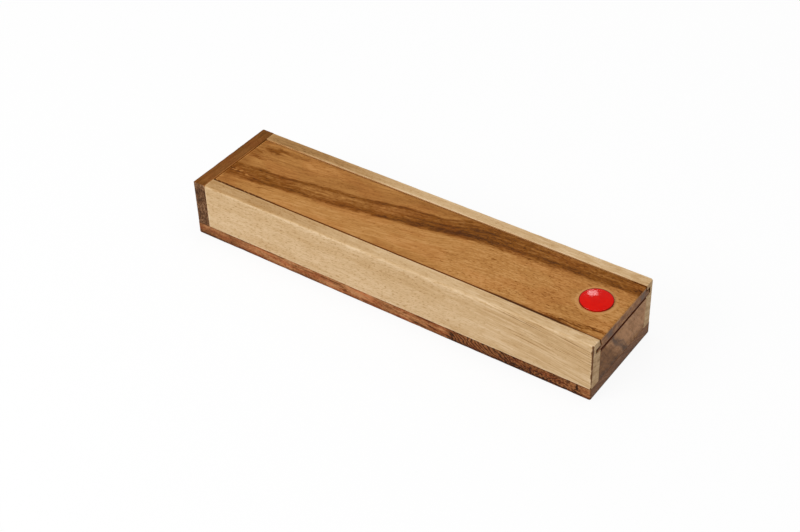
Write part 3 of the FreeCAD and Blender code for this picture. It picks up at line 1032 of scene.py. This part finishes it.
def lid_wood():
    """Orange brown wood, with grain that follows the dark streak from corner to corner."""
    material, shader, place, facing = new_finish("lid_wood", WOOD_GLOSS)
    along, across, up = parts(place)
    foot = curve(along, STREAK_FOOT)
    top = curve(along, STREAK_TOP)
    middle = scaled(total(foot, top), 0.5)
    flowing = add("CombineXYZ", {0: along, 1: less(across, middle), 2: up})[0]
    grain = place_group(wood_grain, {"Place": flowing, **LID_GRAIN})
    ragged = swing(speckle(flowing, (0.2, 0.8, 0.8), 3.0), 1.1)
    frayed = less(total(across, ragged), foot)
    height = calc("DIVIDE", frayed, less(top, foot))
    body = overlap(fade(height, -0.12, 0.14), fade(height, 1.1, 0.9))
    begun = fade(along, -104.0, -90.0)
    foot_line = overlap(ridge(height, 0.14, 0.22), begun)
    top_line = overlap(ridge(height, 0.95, 0.15), fade(along, 28.0, 8.0), begun)
    mass = overlap(window(along, *DENSER_PART), ridge(height, 0.4, 0.56))
    core = overlap(window(along, *PALER_CORE_PART), ridge(height, 0.6, 0.26))
    # A painted ring of light round the badge, lifting the shade that the badge casts on the wood.
    pale_ring = badge_radius / MM + PALE_RING_OUT
    spared = ridge(from_badge(place), pale_ring, PALE_RING_REACH)
    streaks = speckle(flowing, (0.03, 0.6, 0.5), 3.0)
    flecks = speckle(flowing, (0.4, 1.2, 1.2), 2.0)
    fine = speckle(flowing, (0.5, 1.6, 1.6), 1.0)
    pored = total(scaled(fade(along, 5.0, 50.0), 0.45), 0.55)
    spots = overlap(ridge(across, -7.6, 2.6), fade(along, -91.0, -97.0))
    curls = fade(speckle(place, (0.4, 0.6, 0.6), 1.0), 0.4, 0.9)
    blurred = total(along, swing(speckle(place, (0.2, 0.5, 0.5)), 6.0))
    marks_across = total(across, swing(speckle(place, (0.25, 0.7, 0.7), 3.0), 1.4))
    tone = total(
        LID_MIDTONE, shaded(along, LID_SHADES_ALONG),
        scaled(fade(height, 0.9, 1.2), -0.12),
        scaled(fade(across, -4.0, -14.0), 0.03),
        overlap(body, total(swing(streaks, 0.24), swing(flecks, 0.22), -0.40)),
        overlap(spots, total(scaled(curls, 0.55), -0.12)),
        scaled(foot_line, -0.2), scaled(top_line, -0.24),
        scaled(mass, -0.2), scaled(core, 0.16), scaled(spared, 0.3),
        figure(grain, LID_FIGURE), overlap(grain["Pores"], pored, -0.34),
        overlap(swing(fine, 0.16), fade(along, -20.0, 50.0)),
        marked(blurred, marks_across, LID_MARKS),
    )
    long_grain = toned(tone, LID_TONES)
    ruddy = fade(speckle(place, (0.045, 0.1, 0.1), 1.0), 0.4, 0.9)
    long_grain = tint(scaled(ruddy, 0.1), long_grain, LID_REDDER, "SOFT_LIGHT")
    end_tone = total(
        LID_END_MIDTONE, swing(grain["Clouds"], 0.2), swing(grain["Rings"], 0.2),
        swing(speckle(place, (0.3, 0.4, 0.6), 3.0), 0.4),
        # Paler towards the top: a painted highlight under the lid's rounded front arris.
        scaled(fade(up, 30.6, 31.6), 0.3),
        scaled(window(across, *LID_END_PALER), 0.14),
    )
    blue = largest(ridge(across, -12.5, 4.0), ridge(across, 18.5, 4.5))
    blue = overlap(blue, window(up, *LID_END_BLUE_BAND), 0.7)
    end_grain = tint(blue, toned(end_tone, LID_END_TONES), LID_END_BLUE)
    ends = overlap(fade(facing["X"], 0.5, 0.9), fade(up, 31.9, 31.3))
    base = tint(ends, long_grain, end_grain)
    # Painted light on the lid's back end face, by the fixed end wall.
    butting = overlap(fade(along, -106.6, -106.9), fade(facing["X"], 0.2, 0.7))
    base = tint(butting, base, BUTT_PAINTED_LIGHT)
    # Painted shade along the lid's seams and down its sunk sides, under its front end, and beside and on
    # its tongues.
    lean, deep, seam_cover = seam_shading(place, along)
    beside_near = total(across, -lid_near_edge / MM, lean)
    beside_far = less(lid_far_edge / MM, across)
    near_seam = fade(less(beside_near, scaled(deep, 0.4)), 0.5, 0.15)
    sunk = overlap(fade(facing["Y"], 0.3, 0.7), fade(up, 28.0, 28.4))
    far_seam = scaled(fade(beside_far, 0.3, 0.05), 0.2)
    shade_line = less(up, scaled(across, SHADE_SLOPE))
    under = overlap(fade(shade_line, 26.8, 26.3), fade(along, 106.0, 108.0))
    beside_tongue = overlap(fade(across, -20.9, -21.5), fade(up, 26.8, 27.3), fade(up, 28.6, 28.2))
    on_tongues = overlap(
        largest(fade(across, -20.0, -20.15), fade(across, 21.2, 21.3)),
        fade(facing["X"], 0.6, 0.3), fade(along, 104.0, 110.0), fade(up, 31.7, 31.4),
    )
    tucked = largest(under, beside_tongue, on_tongues)
    painted_shade_mask = largest(overlap(near_seam, seam_cover), far_seam, overlap(sunk, seam_cover), tucked)
    seam_shade_colour = tint(tucked, tint(deep, LID_SEAM_SHADE, LID_DEEP_SEAM_SHADE), GROOVE_SHADE)
    base = tint(scaled(painted_shade_mask, PAINTED_SEAM_STRENGTH), base, seam_shade_colour)
    give_surface(shader, base, satin(grain, *LID_SATIN), grain["Relief"])
    return material


def lid_section():
    """The lid's Y, Z section: a thick middle with a tongue on each side."""
    near_tongue = lid_low.z + NEAR_TONGUE_THICKNESS
    far_tongue = lid_low.z + FAR_TONGUE_THICKNESS
    return [
        (lid_low.y, lid_low.z), (lid_high.y, lid_low.z), (lid_high.y, far_tongue),
        (lid_far_edge, far_tongue), (lid_far_edge, lid_high.z), (lid_near_edge, lid_high.z),
        (lid_near_edge, near_tongue), (lid_low.y, near_tongue),
    ]


lid_mesh = drawn_along_x(lid_section(), lid_low.x, lid_high.x)
round_over(
    lid_mesh, TONGUE_RADIUS,
    {"y": lid_low.y, "z": lid_low.z + NEAR_TONGUE_THICKNESS},
    {"y": lid_high.y, "z": lid_low.z + FAR_TONGUE_THICKNESS},
)
round_over(lid_mesh, LID_FRONT_RADIUS, {"x": lid_high.x, "z": lid_high.z})
round_over(
    lid_mesh, LID_SIDE_RADIUS,
    {"y": lid_near_edge, "z": lid_high.z}, {"y": lid_far_edge, "z": lid_high.z},
)
ease(lid_mesh)
wear(lid_mesh, LID_WEAR, seed=6)
taper(lid_mesh, lid_near_edge, lid_low.z + NEAR_TONGUE_THICKNESS + EASING_RADIUS)
lid_piece = piece("lid_panel_wood", lid_mesh, lid_wood())
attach(lid_piece, "lid")
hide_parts("lid_panel")


# ---------------------------------------------------------------------------------------------
# The badge: a thin red disc stuck on the lid, under resin that was poured to a low dome. So
# little depth shows in the resin that it is red itself, under its gloss.

BADGE_STEPS = 96
DISC_SHRINK = 0.12 * MM
CAP_STEPS = 12
RIM_STEPS = 8
RIM_HEIGHT = 0.15 * MM
RIM_RADIUS = 0.5 * MM
BADGE_RED = colour(224, 16, 0)
BADGE_DEEPER_RED = colour(216, 10, 0)
BADGE_RIM_SHADE = colour(96, 14, 6)
BADGE_EDGE_SHIFT = (0.2, -0.34)
DARK_EDGE = (0.55, 0.25)
DARK_EDGE_STRENGTH = 0.9
UNEVEN_SPOTS = (0.3, 0.3, 0.3)
RIPPLE_SPOTS = (0.25, 0.25, 0.25)
WELD = CLOSE / 10
DISC_ROUGHNESS = 0.5
DISC_GLOSS = 0.1
RESIN_ROUGHNESS = 0.09
RESIN_GLOSS = 0.14
RIPPLE_DEPTH = 0.03 * MM
RIPPLE_STRENGTH = 0.08


def turned(profile):
    """A round piece: a profile of distances and heights, spun about the badge's own axis."""
    mesh = bmesh.new()
    dots = [mesh.verts.new((badge_middle.x + out, badge_middle.y, height)) for out, height in profile]
    lines = [mesh.edges.new(pair) for pair in zip(dots, dots[1:])]
    bmesh.ops.spin(
        mesh, geom=dots + lines, cent=badge_middle, axis=(0, 0, 1), angle=math.tau,
        steps=BADGE_STEPS, use_merge=True,
    )
    bmesh.ops.remove_doubles(mesh, verts=mesh.verts, dist=WELD)
    bmesh.ops.recalc_face_normals(mesh, faces=mesh.faces)
    return mesh


def arc(centre, radius, start, end, steps):
    """Points on an arc, as distances and heights, from one angle to another in degrees."""
    angles = [math.radians(start + (end - start) * step / steps) for step in range(steps + 1)]
    return [(centre[0] + radius * math.cos(turn), centre[1] + radius * math.sin(turn)) for turn in angles]


def badge_finish(name, roughness, gloss):
    """A new material for the badge, with a slightly uneven red."""
    material, shader, place = new_finish(name, gloss)[:3]
    shader.inputs["Roughness"].default_value = roughness
    red = tint(speckle(place, UNEVEN_SPOTS, 4.0), BADGE_RED, BADGE_DEEPER_RED)
    give(shader, "Base Color", red)
    return material, shader, place, red


def badge_resin():
    """Red under a gloss with faint ripples, and a painted dark edge for the shade at the resin's rim."""
    material, shader, place, red = badge_finish("badge_resin", RESIN_ROUGHNESS, RESIN_GLOSS)
    inside = less(badge_radius / MM, from_badge(place, BADGE_EDGE_SHIFT))
    # Painted shade: a dark rim round the resin's edge, more on the far side.
    rim_shade = scaled(fade(inside, *DARK_EDGE), DARK_EDGE_STRENGTH)
    give(shader, "Base Color", tint(rim_shade, red, BADGE_RIM_SHADE))
    height = speckle(place, RIPPLE_SPOTS)
    ripple = add("Bump", {"Height": height, "Distance": RIPPLE_DEPTH, "Strength": RIPPLE_STRENGTH})
    give(shader, "Normal", ripple["Normal"])
    return material


disc_edge = badge_radius - DISC_SHRINK
disc_mesh = turned([(0, disc_high.z), (disc_edge, disc_high.z), (disc_edge, disc_low.z), (0, disc_low.z)])
disc_piece = piece("badge_disc_red", disc_mesh, badge_finish("badge_red", DISC_ROUGHNESS, DISC_GLOSS)[0])
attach(disc_piece, "lid")
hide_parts("badge_disc")

cap_reach = badge_radius - RIM_RADIUS
cap_climb = dome_high.z - dome_low.z - RIM_HEIGHT
cap_radius = (cap_reach ** 2 + cap_climb ** 2 - RIM_RADIUS ** 2) / (2 * (cap_climb - RIM_RADIUS))
cap_centre = (0, dome_high.z - cap_radius)
join = math.degrees(math.atan2(dome_low.z + RIM_HEIGHT - cap_centre[1], cap_reach))
dome_profile = (
    [(0, dome_low.z), (badge_radius, dome_low.z)]
    + arc((cap_reach, dome_low.z + RIM_HEIGHT), RIM_RADIUS, 0, join, RIM_STEPS)
    + arc(cap_centre, cap_radius, join, 90, CAP_STEPS)[1:]
)
dome_mesh = turned(dome_profile)
dome_piece = piece("badge_dome_resin", dome_mesh, badge_resin())
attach(dome_piece, "lid")
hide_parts("badge_dome")


# ---------------------------------------------------------------------------------------------
# The room: a pale floor, a white surround, and soft studio lamps.

FLOOR_SIZE = 3.0
FLOOR_DROP = 0.05 * MM
FLOOR_PALE = (0.8, 0.8, 0.8, 1)
WHITE = (1, 1, 1, 1)
FLOOR_OWN_WHITE = 0.9
SURROUND_LIGHT = 0.45


def seen_directly(tree):
    """1 for rays that come from the eye straight, or by way of something shiny or clear."""
    path = add("LightPath", {}, tree)
    return largest(path["Is Glossy Ray"], path["Is Transmission Ray"], path["Is Camera Ray"])


def floor_finish():
    """A pale floor that looks white but still takes the box's soft shadow."""
    material = bpy.data.materials.new("floor")
    material.use_nodes = True
    tree = material.node_tree
    tree.nodes.clear()
    pale = add("BsdfDiffuse", {"Color": FLOOR_PALE}, tree)[0]
    bright = add("BsdfDiffuse", {"Color": WHITE}, tree)[0]
    white = add("Emission", {"Color": WHITE, "Strength": 1.0}, tree)[0]
    shown = add("MixShader", {0: FLOOR_OWN_WHITE, 1: bright, 2: white})[0]
    mixed = add("MixShader", {0: seen_directly(tree), 1: pale, 2: shown})[0]
    add("OutputMaterial", {"Surface": mixed})
    return material


floor_mesh = bmesh.new()
bmesh.ops.create_grid(floor_mesh, x_segments=1, y_segments=1, size=FLOOR_SIZE)
bmesh.ops.translate(floor_mesh, vec=(0, 0, -FLOOR_DROP), verts=floor_mesh.verts)
floor = piece("floor", floor_mesh, floor_finish())

world = bpy.data.worlds.new("studio")
world.use_nodes = True
bpy.context.scene.world = world
surround = world.node_tree.nodes["Background"]
surround.inputs["Color"].default_value = WHITE
surround.inputs["Strength"].default_value = SURROUND_LIGHT


def soft_lamp(name, place, aim, width, height, power):
    """A flat rectangular lamp, turned to face the box."""
    data = bpy.data.lights.new(name, "AREA")
    data.shape = "RECTANGLE"
    data.size = width
    data.size_y = height
    data.energy = power
    lamp = bpy.data.objects.new(name, data)
    bpy.context.scene.collection.objects.link(lamp)
    facing = (Vector(aim) - Vector(place)).to_track_quat("-Z", "Y")
    lamp.matrix_world = Matrix.Translation(place) @ facing.to_matrix().to_4x4()
    return lamp


BOX_MIDDLE = (0, 0, 0.02)
NEAR_THE_BADGE = (0.1, 0, 0.03)
soft_lamp("key lamp", (-0.55, -1.00, 0.75), BOX_MIDDLE, width=0.9, height=0.7, power=8.4)
soft_lamp("top lamp", (0.10, 0.10, 1.30), BOX_MIDDLE, width=0.9, height=0.9, power=4.53)
soft_lamp("back lamp", (-0.402, 0.887, 0.683), NEAR_THE_BADGE, width=0.105, height=0.15, power=0.5)

CAMERA_PLACE = Vector((0.34092, -0.47544, 0.47830))
CAMERA_AIM = Vector((-0.01193, 0.00524, 0.0))
CAMERA_ROLL = math.radians(-2.165)
CAMERA_LENS = 68.9
FILM_WIDTH = 36.0

camera_data = bpy.data.cameras.new("camera")
camera_data.lens = CAMERA_LENS
camera_data.sensor_width = FILM_WIDTH
camera = bpy.data.objects.new("camera", camera_data)
bpy.context.scene.collection.objects.link(camera)
look = (CAMERA_AIM - CAMERA_PLACE).to_track_quat("-Z", "Y").to_matrix().to_4x4()
camera.matrix_world = Matrix.Translation(CAMERA_PLACE) @ look @ Matrix.Rotation(CAMERA_ROLL, 4, "Z")
bpy.context.scene.camera = camera
bpy.context.scene.view_settings.view_transform = "Standard"
